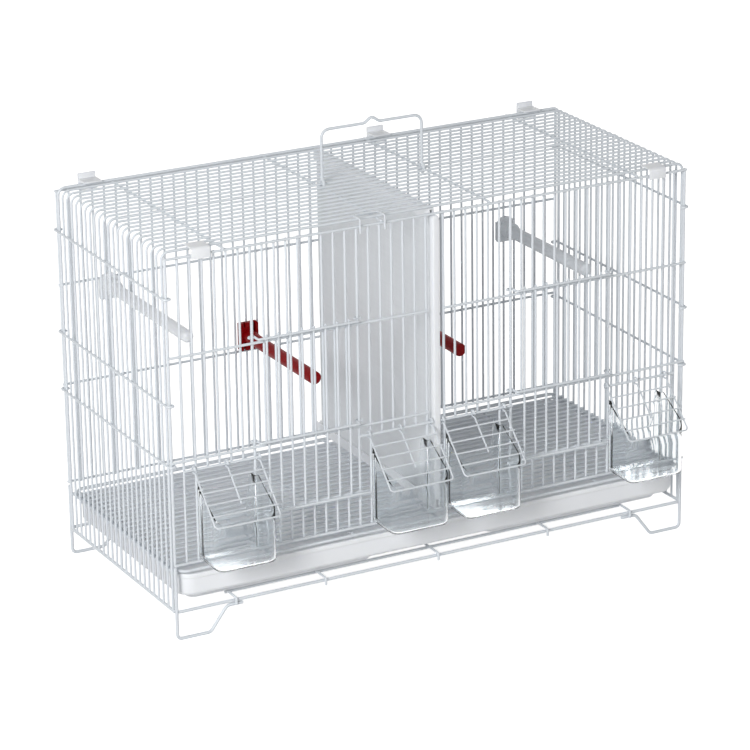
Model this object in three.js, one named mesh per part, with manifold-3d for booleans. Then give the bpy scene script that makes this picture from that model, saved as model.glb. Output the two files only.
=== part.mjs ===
// A double breeding cage for canaries: white wire panels, a sliding divider,
// two lifting doors, four outside feeders with wire flaps, a slide-out floor
// grille and tray, perches on the back panel and a carrying handle.
// Millimetres, +Z up. While it is built, x runs from the middle of the cage to
// the right, y from the front panel to the back and z up from the base wires.
import * as THREE from "three";
import { mergeVertices } from "three/addons/utils/BufferGeometryUtils.js";
import Module from "manifold-3d";

const wasm = await Module();
wasm.setup();

// ---- Driving dimensions -------------------------------------------------

const barPitch = 13.136; // between the upright wires of the front panel
const pitchesPerHalf = 22; // wire spaces in each half of the front panel
const slotWidth = 20; // gap in the middle of the front that the divider fills
const cageDepth = 262; // front panel to back panel
const cageHeight = 378; // base wires to roof wires
const footHeight = 31; // base wires to the floor
const wrapInset = 6; // from a panel to the first wire of the walls and roof
const wrapWires = 23; // wires bent over the cage as side walls and roof
const feederOpening = 5; // wire spaces cut out for a feeder

// Half widths of the wires. A thin wire's section is a square stood on its
// corner, so that crossing wires are welded corner to corner.
const barHalf = 1.4;
const stoutHalf = 1.85;
const railHalf = 1.6;
const baseHalf = 1.9;
const hookHalf = 1.1;
const weldBite = 0.4; // how far a welded rail is sunk into the bars
const layGap = 0.05; // a middle rail lies this close along the thin bars
const fit = 0.4; // clearance between neighbouring pieces
const restGap = 0.3; // under a piece that rests on another

// ---- Levels and widths that follow from them ----------------------------

const halfWidth = slotWidth / 2 + pitchesPerHalf * barPitch;
const weldStep = barHalf + railHalf - weldBite; // bar centre to welded rail
const layStep = barHalf + railHalf + layGap; // bar centre to a laid rail
const bottomRailZ = 51.5;
const sillRailZ = 90;
const hingeZ = 150;
const lowRailZ = 161;
const highRailZ = 271;
const topRailZ = cageHeight - weldStep - 2 * railHalf - fit;
const wallX = halfWidth + 0.9; // side walls stand just outside the panels
const wrapPitch = (cageDepth - 2 * wrapInset) / (wrapWires - 1);
const wrapBend = 8;
const supportZ = baseHalf + barHalf + restGap;
const trayBottomZ = supportZ + barHalf + restGap;
const trayTopZ = 38.8;
const runnerZ = trayTopZ + fit; // underside of the ledges for the floor grille
const runnerThick = 2.4;
const grilleFrameZ = runnerZ + runnerThick + restGap + railHalf;
const grilleBarZ = grilleFrameZ + weldStep;
const grilleHalf = halfWidth - baseHalf - railHalf - fit - 1;
const outerFeederBar = 2; // first bar beside the outer feeder's opening
const innerFeederBar = pitchesPerHalf - feederOpening;
const doorFirstBar = outerFeederBar + feederOpening; // its outer guide bar
const doorLastBar = innerFeederBar - 1; // its inner guide bar
const feederBars = [outerFeederBar, innerFeederBar];
const halves = [
  { side: -1, name: "left" },
  { side: 1, name: "right" },
];

// ---- Finishes -----------------------------------------------------------

const whiteWire = { color: 0xe6e8e8, roughness: 0.38, metalness: 0.05 };
const whitePlastic = { color: 0xf1f2f2, roughness: 0.3, metalness: 0 };
const greyPlastic = { color: 0xd9dadc, roughness: 0.4, metalness: 0 };
const redPlastic = { color: 0x6f0b14, roughness: 0.35, metalness: 0 };
const bluePanel = { color: 0xc3cdd6, roughness: 0.5, metalness: 0 };
const clearPlastic = { color: 0xd5dce0, roughness: 0.12, metalness: 0 };

// ---- Making solids ------------------------------------------------------

const cage = new THREE.Group();
cage.name = "canary_breeding_cage";

function toSolid(geometry) {
  geometry.deleteAttribute("normal");
  geometry.deleteAttribute("uv");
  const merged = mergeVertices(geometry, 1e-4);
  return new wasm.Manifold(
    new wasm.Mesh({
      numProp: 3,
      vertProperties: merged.attributes.position.array,
      triVerts: new Uint32Array(merged.index.array),
    }),
  );
}

function join(solids) {
  return solids.reduce((whole, next) => whole.add(next));
}

function piece(name, solid, finish) {
  const mesh = solid.getMesh();
  const geometry = new THREE.BufferGeometry();
  const points = new THREE.BufferAttribute(mesh.vertProperties, mesh.numProp);
  geometry.setAttribute("position", points);
  geometry.setIndex(new THREE.BufferAttribute(mesh.triVerts, 1));
  const flat = geometry.toNonIndexed();
  flat.computeVertexNormals();
  const result = new THREE.Mesh(flat, new THREE.MeshStandardMaterial(finish));
  result.name = name;
  cage.add(result);
}

function block(x0, x1, y0, y1, z0, z1) {
  const box = new THREE.BoxGeometry(x1 - x0, y1 - y0, z1 - z0);
  return toSolid(box.translate((x0 + x1) / 2, (y0 + y1) / 2, (z0 + z1) / 2));
}

// A wire of four-sided section along a line of points. At each bend the
// section is carried along the last stretch onto the plane that halves the
// bend. A diamond section has its corners up and sideways, a square one its
// flats.
function wire(points, half, section = "diamond") {
  const path = points.map((p) => new THREE.Vector3(...p));
  const along = path.slice(1).map((p, i) => p.clone().sub(path[i]).normalize());
  const first = along[0];
  const helper = Math.abs(first.z) < 0.9
    ? new THREE.Vector3(0, 0, 1)
    : new THREE.Vector3(1, 0, 0);
  const across = helper.addScaledVector(first, -helper.dot(first)).normalize();
  if (section === "square") across.applyAxisAngle(first, Math.PI / 4);
  const reach = section === "square" ? half * Math.SQRT2 : half;
  const corners = [0, 1, 2, 3].map((k) =>
    across.clone().applyAxisAngle(first, (k * Math.PI) / 2),
  );
  let ring = corners.map((c) => path[0].clone().addScaledVector(c, reach));
  const rings = [ring];
  for (let i = 1; i < path.length; i++) {
    const from = along[i - 1];
    const normal = from.clone().add(along[Math.min(i, along.length - 1)]);
    ring = ring.map((p) => {
      const toPlane = path[i].clone().sub(p).dot(normal) / from.dot(normal);
      return p.clone().addScaledVector(from, toPlane);
    });
    rings.push(ring);
  }
  const index = [0, 3, 2, 0, 2, 1];
  for (let i = 1; i < rings.length; i++) {
    for (let k = 0; k < 4; k++) {
      const a = 4 * (i - 1) + k;
      const b = 4 * (i - 1) + ((k + 1) % 4);
      index.push(a, b, b + 4, a, b + 4, a + 4);
    }
  }
  const last = 4 * (rings.length - 1);
  index.push(last, last + 1, last + 2, last, last + 2, last + 3);
  const geometry = new THREE.BufferGeometry();
  geometry.setFromPoints(rings.flat());
  geometry.setIndex(index);
  return toSolid(geometry);
}

// The points of a path with its inner corners rounded in two steps each.
function rounded(points, radius) {
  const path = points.map((p) => new THREE.Vector3(...p));
  const result = [path[0]];
  for (let i = 1; i < path.length - 1; i++) {
    const before = path[i - 1].clone().sub(path[i]).setLength(radius);
    const after = path[i + 1].clone().sub(path[i]).setLength(radius);
    result.push(path[i].clone().add(before));
    result.push(path[i].clone().addScaledVector(before.add(after), 0.25));
    result.push(path[i].clone().add(after));
  }
  result.push(path[path.length - 1]);
  return result.map((p) => p.toArray());
}

function crossRail(x0, x1, y, z, half = railHalf) {
  return wire([[x0, y, z], [x1, y, z]], half);
}

function upright(x, y, z0, z1, half = barHalf) {
  return wire([[x, y, z0], [x, y, z1]], half);
}

function roundedRectangle(width, depth, radius) {
  const x = width / 2 - radius;
  const y = depth / 2 - radius;
  const shape = new THREE.Shape();
  shape.absarc(x, y, radius, 0, Math.PI / 2);
  shape.absarc(-x, y, radius, Math.PI / 2, Math.PI);
  shape.absarc(-x, -y, radius, Math.PI, 1.5 * Math.PI);
  shape.absarc(x, -y, radius, 1.5 * Math.PI, 2 * Math.PI);
  return shape;
}

// A flat shape drawn in x and y, raised from one level to another.
function slab(shape, z0, z1, x = 0, y = 0) {
  const options = { depth: z1 - z0, bevelEnabled: false, curveSegments: 4 };
  return toSolid(new THREE.ExtrudeGeometry(shape, options).translate(x, y, z0));
}

// A profile drawn in y and z, drawn out along x.
function profileBar(profile, x0, x1) {
  const shape = new THREE.Shape(profile.map(([y, z]) => new THREE.Vector2(y, z)));
  const options = { depth: x1 - x0, bevelEnabled: false };
  const bar = new THREE.ExtrudeGeometry(shape, options);
  bar.rotateY(Math.PI / 2).rotateX(Math.PI / 2).translate(x0, 0, 0);
  return toSolid(bar);
}

// The rounded eye of a wire round a pin that runs along x, in six steps: the
// first point is the one that the wire comes in by, at the given angle.
function eye(x, pinY, pinZ, radius, inAngle, steps) {
  return Array.from({ length: steps + 1 }, (unused, k) => {
    const angle = inAngle + (k * Math.PI) / 3;
    return [x, pinY + radius * Math.cos(angle), pinZ + radius * Math.sin(angle)];
  });
}

// ---- Front panel --------------------------------------------------------

// The bars of a half are counted from its corner towards the slot.
function barX(side, bar) {
  return side * (slotWidth / 2 + (pitchesPerHalf - bar) * barPitch);
}

// The middle of the feeder opening that starts after the given bar.
function feederX(side, bar) {
  return barX(side, bar + feederOpening / 2);
}

const stoutBars = [0, doorFirstBar, doorLastBar, pitchesPerHalf];
const panelRailY = -weldStep;
const middleRailY = -layStep;
const railEnd = 1.5; // a rail runs this far past the last bar it is welded to

// A feeder opening takes its bars from the hinge bar down to the bottom rail,
// and the door opening takes them between the sill and the low rail.
function barSpans(bar) {
  const lowEnd = bottomRailZ - 1;
  const highEnd = topRailZ + 1;
  const isCut = (first) => bar > first && bar < first + feederOpening;
  if (feederBars.some(isCut)) return [[hingeZ - 1, highEnd]];
  if (bar > doorFirstBar && bar < doorLastBar)
    return [[lowEnd, sillRailZ + 1], [lowRailZ - 1, highEnd]];
  return [[lowEnd, highEnd]];
}

const flapHalf = (feederOpening / 2) * barPitch + stoutHalf + hookHalf + fit;

function frontPanel() {
  const wires = [
    crossRail(-halfWidth - railEnd, halfWidth + railEnd, panelRailY, topRailZ),
    crossRail(-halfWidth - railEnd, halfWidth + railEnd, panelRailY, bottomRailZ),
  ];
  for (const { side } of halves) {
    for (let bar = 0; bar <= pitchesPerHalf; bar++) {
      const half = stoutBars.includes(bar) ? stoutHalf : barHalf;
      for (const [low, high] of barSpans(bar))
        wires.push(upright(barX(side, bar), 0, low, high, half));
    }
    const span = (from, to) => [from, to].sort((a, b) => a - b);
    const whole = span(barX(side, 0) + side * railEnd, barX(side, pitchesPerHalf) - side);
    wires.push(crossRail(...whole, middleRailY, highRailZ));
    wires.push(crossRail(...whole, middleRailY, lowRailZ));
    const sill = span(
      barX(side, doorFirstBar) + side * railEnd,
      barX(side, doorLastBar) - side * railEnd,
    );
    wires.push(crossRail(...sill, panelRailY, sillRailZ));
    for (const first of feederBars) {
      const inner = feederX(side, first) - side * (flapHalf + hookHalf + 0.6);
      const hinge = span(barX(side, first - 1) + side * railEnd, inner);
      wires.push(crossRail(...hinge, panelRailY, hingeZ));
    }
  }
  return join(wires);
}

// ---- Back panel ---------------------------------------------------------

const backPitches = 45; // an odd number keeps the middle free for the divider
const backPitch = (2 * halfWidth) / backPitches;

function backPanel() {
  const wires = [
    crossRail(-halfWidth - railEnd, halfWidth + railEnd, cageDepth + weldStep, topRailZ),
    crossRail(-halfWidth - railEnd, halfWidth + railEnd, cageDepth + weldStep, bottomRailZ),
    crossRail(-halfWidth - railEnd, halfWidth + railEnd, cageDepth + layStep, highRailZ),
    crossRail(-halfWidth - railEnd, halfWidth + railEnd, cageDepth + layStep, lowRailZ),
  ];
  const stout = [0, (backPitches - 1) / 2, (backPitches + 1) / 2, backPitches];
  for (let bar = 0; bar <= backPitches; bar++) {
    const half = stout.includes(bar) ? stoutHalf : barHalf;
    const x = -halfWidth + bar * backPitch;
    wires.push(upright(x, cageDepth, bottomRailZ - 1, topRailZ + 1, half));
  }
  return join(wires);
}

// ---- Side walls and roof ------------------------------------------------

const sideRailLevels = [157, 221, 332];
const wrapStout = [0, (wrapWires - 1) / 2, wrapWires - 1];

function wrapY(wireNumber) {
  return wrapInset + wireNumber * wrapPitch;
}

function wrapHalf(wireNumber) {
  return wrapStout.includes(wireNumber) ? stoutHalf : barHalf;
}

// A side rail lies outside the wall, and each end hooks round the corner bar
// of the front or back panel.
function sideRail(side, z) {
  const out = side * (wallX + layStep);
  const inn = side * (halfWidth - stoutHalf - railHalf - fit);
  const past = stoutHalf + railHalf + fit;
  const end = stoutHalf;
  return wire(
    [
      [inn, end, z],
      [inn, -past, z],
      [out, -past, z],
      [out, cageDepth + past, z],
      [inn, cageDepth + past, z],
      [inn, cageDepth - end, z],
    ],
    railHalf,
  );
}

function sideWall(side) {
  const x = side * wallX;
  const roofX = side * (wallX - wrapBend);
  const wires = sideRailLevels.map((z) => sideRail(side, z));
  for (let n = 0; n < wrapWires; n++) {
    const y = wrapY(n);
    const up = rounded([[x, y, 0], [x, y, cageHeight], [roofX, y, cageHeight]], wrapBend * 0.99);
    wires.push(wire(up, wrapHalf(n)));
  }
  const legHalf = baseHalf + restGap;
  wires.push(wire([[x, legHalf, 0], [x, cageDepth - legHalf, 0]], baseHalf));
  const ledge = [side * (grilleHalf - railHalf), side * (wallX - barHalf + weldBite)];
  const ledgeEnd = 2 * baseHalf + fit;
  ledge.sort((a, b) => a - b);
  wires.push(
    block(...ledge, ledgeEnd, cageDepth - ledgeEnd, runnerZ, runnerZ + runnerThick),
  );
  return join(wires);
}

const roofRailX = [62, 238]; // the inner and outer wires under the roof
const roofRailEnd = weldStep + railHalf + 0.8;

function roof() {
  const end = wallX - wrapBend - restGap;
  const wires = [];
  for (let n = 0; n < wrapWires; n++)
    wires.push(crossRail(-end, end, wrapY(n), cageHeight, wrapHalf(n)));
  for (const { side } of halves) {
    const [inner, outer] = roofRailX.map((x) => side * x);
    const from = -roofRailEnd;
    const to = cageDepth + roofRailEnd;
    const laid = cageHeight - layStep;
    const welded = cageHeight - weldStep;
    wires.push(wire([[inner, from, laid], [inner, to, laid]], railHalf));
    wires.push(wire([[outer, from, welded], [outer, to, welded]], railHalf));
  }
  return join(wires);
}

// ---- Base: wires, feet and tray supports --------------------------------

const baseEnd = halfWidth - baseHalf - restGap;

const footBar = 37; // along the floor
const footRise = 19; // across, while it slopes back up
const footTail = 18; // along the underside of the base wire
const footBend = 6;

// A foot is one bent wire: down the corner from the bottom rail, along the
// floor and back up under the base wire.
function foot(side, y) {
  const corner = side * halfWidth;
  const floorZ = -footHeight + baseHalf;
  const underBase = -2 * baseHalf - restGap;
  const topZ = bottomRailZ - railHalf - 1 - fit;
  const path = [
    [corner, y, topZ],
    [corner, y, floorZ],
    [corner - side * footBar, y, floorZ],
    [corner - side * (footBar + footRise), y, underBase],
    [corner - side * (footBar + footRise + footTail), y, underBase],
  ];
  return wire(rounded(path, footBend), baseHalf, "square");
}

// The tray slides on a rack: wires from front to back, whose ends hook down
// over the base wires, welded on two long wires that lie under them.
const rackShares = [-1, -0.564, 0, 0.564, 1]; // of the way to the outer wires
const rackOuterX = halfWidth - 65;
const rackHook = 2.5; // how far its hooks reach below the base wires
const rackLongInset = 21; // base wire to the nearest long wire of the rack

function trayRack() {
  const past = baseHalf + barHalf + fit;
  const hookEndZ = -baseHalf - rackHook;
  const wires = rackShares.map((share) => {
    const x = share * rackOuterX;
    const path = [
      [x, -past, hookEndZ],
      [x, -past, supportZ],
      [x, cageDepth + past, supportZ],
      [x, cageDepth + past, hookEndZ],
    ];
    return wire(path, barHalf);
  });
  const longZ = supportZ - weldStep;
  const longEnd = -rackOuterX - railEnd;
  wires.push(crossRail(longEnd, -longEnd, rackLongInset, longZ));
  wires.push(crossRail(longEnd, -longEnd, cageDepth - rackLongInset, longZ));
  return join(wires);
}

// ---- Floor grille and tray ----------------------------------------------

const grilleBars = 23;
const grilleCrossWires = [-0.66, -0.33, 0, 0.33, 0.66];

function floorGrille() {
  const front = panelRailY;
  const back = cageDepth - 2 * railHalf - fit;
  const corner = 9;
  const x = grilleHalf;
  const sleeve = 8; // half the sleeve in which the frame wire's ends meet
  const loop = [
    [1, back, grilleFrameZ],
    [x, back, grilleFrameZ],
    [x, front, grilleFrameZ],
    [-x, front, grilleFrameZ],
    [-x, back, grilleFrameZ],
    [-1, back, grilleFrameZ],
  ];
  const wires = [
    wire(rounded(loop, corner), railHalf),
    crossRail(-sleeve, sleeve, back, grilleFrameZ, railHalf + 0.4),
  ];
  const step = (back - front - 2 * corner) / (grilleBars - 1);
  for (let n = 0; n < grilleBars; n++)
    wires.push(crossRail(-x - 1, x + 1, front + corner + n * step, grilleBarZ, barHalf));
  for (const share of grilleCrossWires) {
    const at = share * x;
    const low = grilleBarZ - 2 * barHalf - layGap;
    wires.push(wire([[at, front, low], [at, back, low]], barHalf));
  }
  return join(wires);
}

const trayFrontY = -3;
const trayDepth = cageDepth - 2 * baseHalf - trayFrontY - 1;
const trayWidth = 2 * (halfWidth - baseHalf - fit - 0.7);
const trayWall = 2.2;
const trayLip = 1.4; // how far the rim stands out from the tub
const trayBandZ = 19; // the tub's upright wall ends here
const trayFootZ = 13.5; // and its slope into the two wells here
const traySlope = 7; // how far each of the two steps goes in
const wellWidth = trayWidth * 0.36;
const wellInset = 16;

// The tray's outline, drawn in by some distance, as a slab between two levels.
function traySlab(inset, z0, z1) {
  const y = trayFrontY + trayDepth / 2;
  const corner = Math.max(20 - inset, 6);
  const outline = roundedRectangle(trayWidth - 2 * inset, trayDepth - 2 * inset, corner);
  return slab(outline, z0, z1, 0, y);
}

function trayWell(side, inset, z0, z1) {
  const width = wellWidth - 2 * inset;
  const depth = trayDepth - 2 * (wellInset + inset);
  const x = (side * (trayWidth - wellWidth)) / 2 - side * wellInset;
  return slab(roundedRectangle(width, depth, 10), z0, z1, x, trayFrontY + trayDepth / 2);
}

function tray() {
  let shell = traySlab(0, trayTopZ - 5, trayTopZ)
    .add(traySlab(trayLip, trayBandZ, trayTopZ - 1))
    .add(traySlab(trayLip + traySlope, trayFootZ, trayBandZ + 1));
  for (const { side } of halves)
    shell = shell.add(trayWell(side, 0, trayBottomZ, trayFootZ + 1));
  shell = shell
    .subtract(traySlab(trayLip + trayWall, trayBandZ + trayWall, trayTopZ + 1))
    .subtract(traySlab(trayLip + traySlope + trayWall, trayFootZ + trayWall, trayTopZ));
  for (const { side } of halves)
    shell = shell.subtract(trayWell(side, trayWall, trayBottomZ + trayWall, trayTopZ));
  return shell;
}

// ---- Divider and its guides ---------------------------------------------

const sheetHalf = 1;
const postHalf = 3.75;
const guideWall = 1.4;
const floorGuideTopZ = 63.6;
const floorGuideZ = bottomRailZ + railHalf + restGap;
const sheetTopZ = topRailZ - railHalf - 0.6;
const dividerBackY = cageDepth - 6;

function divider() {
  const sheetZ = floorGuideZ + guideWall + restGap;
  const sheet = block(-sheetHalf, sheetHalf, 3, dividerBackY, sheetZ, sheetTopZ);
  const postZ = floorGuideTopZ + fit;
  const shape = new THREE.Shape();
  shape.moveTo(-postHalf, postZ);
  shape.lineTo(postHalf, postZ);
  shape.absarc(0, sheetTopZ - postHalf, postHalf, 0, Math.PI);
  const options = { depth: 8.6, bevelEnabled: false, curveSegments: 8 };
  const post = new THREE.ExtrudeGeometry(shape, options);
  return sheet.add(toSolid(post.rotateX(Math.PI / 2).translate(0, 4, 0)));
}

// A channel along y: its web above or below the sheet, its legs beside it.
function guideChannel(y0, y1, z0, z1, webBelow) {
  const half = sheetHalf + 0.6 + guideWall;
  const outer = block(-half, half, y0, y1, z0, z1);
  const low = webBelow ? z0 + guideWall : z0 - 1;
  const high = webBelow ? z1 + 1 : z1 - guideWall;
  const inner = half - guideWall;
  return outer.subtract(block(-inner, inner, y0 - 1, y1 + 1, low, high));
}

function dividerRoofGuide() {
  const topZ = cageHeight - stoutHalf - restGap;
  return guideChannel(5, cageDepth - 3, topZ - 12, topZ, false);
}

function dividerFloorGuide() {
  const overRail = weldStep + railHalf;
  return guideChannel(-overRail, cageDepth + overRail, floorGuideZ, floorGuideTopZ, true);
}

// ---- Doors --------------------------------------------------------------

const doorBarY = middleRailY - railHalf - fit - barHalf;
const doorRailY = doorBarY - weldStep;
const doorHookLevels = [lowRailZ + railHalf + hookHalf + 2.4, highRailZ + railHalf + hookHalf + 2.4];

// A door rail whose two ends hook round the guide bars of the front panel.
function doorHookRail(side, z) {
  const round = stoutHalf + hookHalf + fit;
  const outerX = barX(side, doorFirstBar);
  const innerX = barX(side, doorLastBar);
  const hook = (x, inward) => [
    [x - inward * round, -stoutHalf * 0.4, z],
    [x - inward * round, round, z],
    [x + inward * round, round, z],
    [x + inward * round, doorRailY, z],
  ];
  const path = [...hook(outerX, -side), ...hook(innerX, side).reverse()];
  return wire(path, hookHalf + 0.2);
}

function door(side) {
  const topZ = doorHookLevels[1];
  const wires = doorHookLevels.map((z) => doorHookRail(side, z));
  for (let bar = doorFirstBar + 1; bar < doorLastBar; bar++)
    wires.push(upright(barX(side, bar), doorBarY, sillRailZ - 1, topZ + 3));
  const pastFlap = flapHalf + hookHalf + fit;
  const outerEnd = feederX(side, outerFeederBar) - side * pastFlap;
  const innerEnd = feederX(side, innerFeederBar) + side * pastFlap;
  const low = Math.min(outerEnd, innerEnd);
  const high = Math.max(outerEnd, innerEnd);
  wires.push(crossRail(low, high, doorRailY, sillRailZ));
  return join(wires);
}

// ---- Feeders and their flaps --------------------------------------------

const feederOut = 49; // how far the cup stands out in front of the panel
const feederWall = 2;
const feederHalf = flapHalf - hookHalf - fit - 0.6;
const feederNeckHalf = (feederOpening / 2) * barPitch - stoutHalf - fit - 0.2;
const feederBottomZ = bottomRailZ + railHalf + restGap;
const feederSideTopZ = 132;
const feederBackZ = feederBottomZ + 24;
const flapRun = 47; // how far the flap reaches out, and down, from its hinge
const flapLift = (hookHalf + fit) * Math.SQRT2; // cup rim below the flap

// The height of the cup's sloping rim at a distance in front of the panel.
function rimZ(y) {
  return hingeZ + (y - panelRailY) - flapLift;
}

function feeder(side, firstBar) {
  const x = feederX(side, firstBar);
  const neckY = middleRailY - railHalf - fit;
  const insideY = 8;
  const slopeTopY = feederSideTopZ - hingeZ + flapLift + panelRailY;
  const outline = (inset, rimUp) => [
    [neckY, feederBottomZ + inset],
    [-feederOut + 2 + inset, feederBottomZ + 2 + inset],
    [-feederOut + inset, rimZ(-feederOut + inset) + rimUp],
    [slopeTopY, feederSideTopZ + rimUp],
    [neckY, feederSideTopZ + rimUp],
  ];
  const cup = profileBar(outline(0, 0), x - feederHalf, x + feederHalf);
  const neck = block(
    x - feederNeckHalf, x + feederNeckHalf, neckY - 1, insideY, feederBottomZ, feederSideTopZ,
  );
  const room = feederHalf - feederWall;
  const neckRoom = feederNeckHalf - feederWall;
  const cupHollow = outline(feederWall, 3);
  cupHollow[0][0] = neckY - feederWall;
  cupHollow[4][0] = neckY - feederWall;
  const hollow = profileBar(cupHollow, x - room, x + room);
  const neckHollow = block(
    x - neckRoom, x + neckRoom, neckY - feederWall - 1, insideY - feederWall,
    feederBottomZ + feederWall, feederSideTopZ + 3,
  );
  const mouth = block(
    x - neckRoom, x + neckRoom, insideY - feederWall - 1, insideY + 1,
    feederBackZ, feederSideTopZ + 3,
  );
  return cup.add(neck).subtract(hollow).subtract(neckHollow).subtract(mouth);
}

// The flap hangs on the hinge bar by three eyes and slopes down over the cup.
function flap(side, firstBar) {
  const centre = feederX(side, firstBar);
  const pinY = panelRailY;
  const eyeRadius = (railHalf + fit + hookHalf) / Math.cos(Math.PI / 6);
  const slope = -0.75 * Math.PI;
  const down = (x, run) => [x, pinY - run, hingeZ - run];
  const eyeIn = (x) => eye(x, pinY, hingeZ, eyeRadius, slope, 5);
  const left = centre - flapHalf;
  const right = centre + flapHalf;
  const frame = [
    ...eyeIn(left).reverse(),
    down(left, flapRun - 5),
    down(left + 7, flapRun),
    down(right - 7, flapRun),
    down(right, flapRun - 5),
    ...eyeIn(right),
  ];
  const wires = [wire(frame, hookHalf)];
  const crossRuns = [0.22, 0.42, 0.62, 0.82].map((share) => share * flapRun);
  const overFrame = (2 * hookHalf - 0.25) * Math.SQRT1_2;
  for (const run of crossRuns)
    wires.push(
      wire(
        [left - 1, right + 1].map((x) => {
          const [px, py, pz] = down(x, run);
          return [px, py - overFrame, pz + overFrame];
        }),
        hookHalf * Math.SQRT1_2,
        "square",
      ),
    );
  const middleRun = crossRuns[2] + 3;
  wires.push(wire([down(centre, middleRun), ...eyeIn(centre)], hookHalf));
  return join(wires);
}

// ---- Perches ------------------------------------------------------------

const clampThick = 8;
const collarLength = 14; // the thicker root of a perch
const collarStep = 2.5; // how far the root stands out round the bar
const archedClamp = { width: 22, height: 28, arched: true };
const squareClamp = { width: 22, height: 32, arched: false };
const highPerch = { level: 264, length: 192, radius: 6.5, clamp: archedClamp };
const middlePerch = { level: 249, length: 172, radius: 7, clamp: archedClamp };
const lowPerch = { level: 180, length: 155, radius: 7, clamp: squareClamp };

// A perch is a round bar with a domed end, on a clamp whose grooved back
// pushes over a wire of the back panel.
function perch(bar, { level: z, length, radius, clamp }) {
  const x = -halfWidth + bar * backPitch;
  const faceY = cageDepth + fit;
  const shape = new THREE.Shape();
  if (clamp.arched) {
    shape.moveTo(-clamp.width / 2, -clamp.height / 2);
    shape.lineTo(clamp.width / 2, -clamp.height / 2);
    shape.absarc(0, clamp.height / 2 - clamp.width / 2, clamp.width / 2, 0, Math.PI);
  } else {
    shape.copy(roundedRectangle(clamp.width, clamp.height, 4));
  }
  const options = { depth: clampThick, bevelEnabled: false, curveSegments: 4 };
  const plate = new THREE.ExtrudeGeometry(shape, options);
  plate.rotateX(Math.PI / 2).translate(x, faceY, z);
  const profile = [
    [0, 0],
    [radius + collarStep, 0],
    [radius + collarStep, collarLength],
    [radius, collarLength],
    [radius, length - radius * 0.6],
    [radius * 0.75, length - radius * 0.2],
    [0, length],
  ].map(([r, h]) => new THREE.Vector2(r, h));
  const rod = new THREE.LatheGeometry(profile, 12);
  rod.rotateX(Math.PI).translate(x, faceY - clampThick + 1, z);
  const grooveHalf = barHalf + fit;
  const groove = block(
    x - grooveHalf, x + grooveHalf, cageDepth - grooveHalf, faceY + 1,
    z - clamp.height, z + clamp.height,
  );
  return toSolid(plate).add(toSolid(rod)).subtract(groove);
}

// ---- Roof clips and handle ----------------------------------------------

const clipWidth = 20;
const clipPlate = 1.6; // thickness of the folded strip
const clipTab = 9; // how far its tab stands up above the roof
const clipInset = 36.5; // cage corner to the middle of a corner clip
const middleClipX = 76;

// A clip folds over the top rail of a panel and the first roof wire.
function roofClip(x, atBack) {
  const outer = weldStep + railHalf + fit;
  const plate = clipPlate;
  const over = cageHeight + stoutHalf + fit;
  const under = topRailZ - railHalf - fit;
  const profile = [
    [-outer - plate, under - plate],
    [-barHalf - fit, under - plate],
    [-barHalf - fit, under],
    [-outer, under],
    [-outer, over],
    [wrapY(0) + 6, over],
    [wrapY(0) + 6, over + plate],
    [-outer, over + plate],
    [-outer, cageHeight + clipTab],
    [-outer - plate, cageHeight + clipTab],
  ];
  const placed = atBack ? profile.map(([y, z]) => [cageDepth - y, z]).reverse() : profile;
  return profileBar(placed, x - clipWidth / 2, x + clipWidth / 2);
}

const stapleX = -87;
const stapleSpan = 28;

// A bent wire staple on the front edge of the roof.
function roofStaple() {
  const x = stapleX;
  const span = stapleSpan;
  const frontY = -weldStep - railHalf - fit - hookHalf;
  const overZ = cageHeight + stoutHalf + fit + hookHalf;
  const path = [
    [x, frontY, topRailZ - 6],
    [x, frontY, overZ],
    [x, wrapY(0) + 4, overZ],
    [x + span, wrapY(0) + 4, overZ],
    [x + span, frontY, overZ],
    [x + span, frontY, topRailZ - 6],
  ];
  return wire(path, hookHalf);
}

const handleHalf = 1.65;
const handleSpan = roofRailX[0] - railHalf - fit - handleHalf;
const handleTop = 57.5;
const handleCorner = 8;
const handleKink = { half: 9, rise: 6 }; // the peak in the middle of the grip

// The handle turns on the middle wire of the roof.
function handle() {
  const pinY = wrapY(wrapStout[1]);
  const eyeRadius = (stoutHalf + fit + handleHalf) / Math.cos(Math.PI / 6);
  const eyeAt = (x) => eye(x, pinY, cageHeight, eyeRadius, Math.PI / 2, 5);
  const barZ = cageHeight + handleTop;
  const corner = handleCorner;
  const path = [
    ...eyeAt(-handleSpan).reverse(),
    [-handleSpan, pinY, barZ - corner],
    [-handleSpan + corner * 0.3, pinY, barZ - corner * 0.3],
    [-handleSpan + corner, pinY, barZ],
    [-handleKink.half, pinY, barZ],
    [0, pinY, barZ + handleKink.rise],
    [handleKink.half, pinY, barZ],
    [handleSpan - corner, pinY, barZ],
    [handleSpan - corner * 0.3, pinY, barZ - corner * 0.3],
    [handleSpan, pinY, barZ - corner],
    ...eyeAt(handleSpan),
  ];
  return wire(path, handleHalf);
}

// ---- The cage -----------------------------------------------------------

piece("front_panel", frontPanel(), whiteWire);
piece("back_panel", backPanel(), whiteWire);
piece("roof", roof(), whiteWire);
piece("base_wire_front", crossRail(-baseEnd, baseEnd, 0, 0, baseHalf), whiteWire);
piece("base_wire_back", crossRail(-baseEnd, baseEnd, cageDepth, 0, baseHalf), whiteWire);
piece("floor_grille", floorGrille(), whiteWire);
piece("tray", tray(), whitePlastic);
piece("divider", divider(), bluePanel);
piece("divider_roof_guide", dividerRoofGuide(), whitePlastic);
piece("divider_floor_guide", dividerFloorGuide(), whitePlastic);
piece("handle", handle(), whiteWire);
piece("roof_staple", roofStaple(), whiteWire);
piece("roof_clip_back_middle", roofClip(middleClipX, true), whitePlastic);
piece("tray_rack", trayRack(), whiteWire);

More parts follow.
